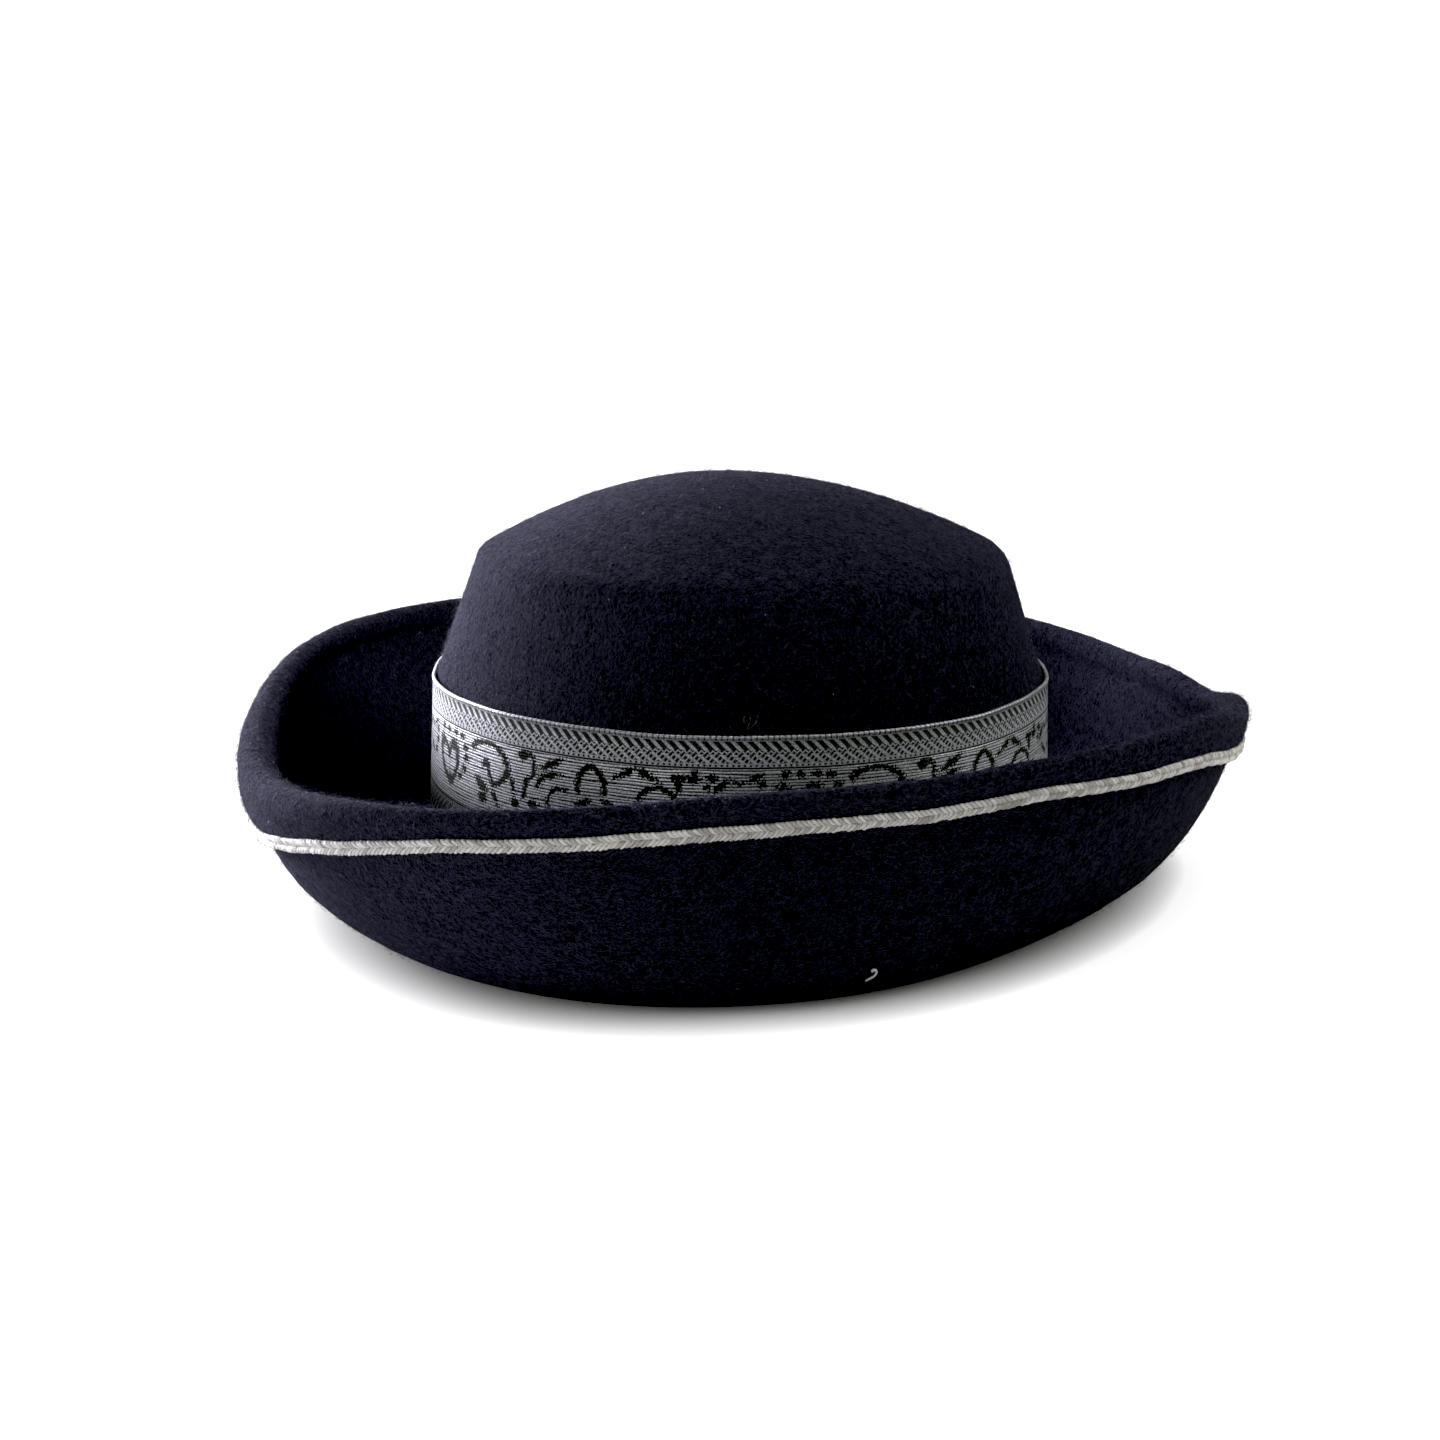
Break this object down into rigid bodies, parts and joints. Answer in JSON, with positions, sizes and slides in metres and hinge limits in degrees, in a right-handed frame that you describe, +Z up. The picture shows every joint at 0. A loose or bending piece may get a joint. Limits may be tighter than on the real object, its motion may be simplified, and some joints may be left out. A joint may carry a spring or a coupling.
{
  "type": "tricorn hat",
  "caption": "Felt hat with a domed crown and a brim turned up all round to a front peak and two rear corners, with a ribbon round the crown and braid round the brim's hem.",
  "frame": {"origin": "middle of the bounding box in plan, on the surface that the brim rests on", "axes": "+X to the front peak, +Y to the wearer's left, +Z up through the crown"},
  "size_m": [0.3302, 0.2895, 0.132],
  "materials": {
    "felt": "dark navy wool felt with a short raised nap",
    "ribbon": "silver-grey metallic jacquard with a black woven pattern",
    "braid": "ivory-silver plaited soutache with a soft sheen"
  },
  "bodies": {
    "root": {"felt_body": "felt", "hat_band": "ribbon", "rim_braid": "braid"}
  },
  "joints": []
}
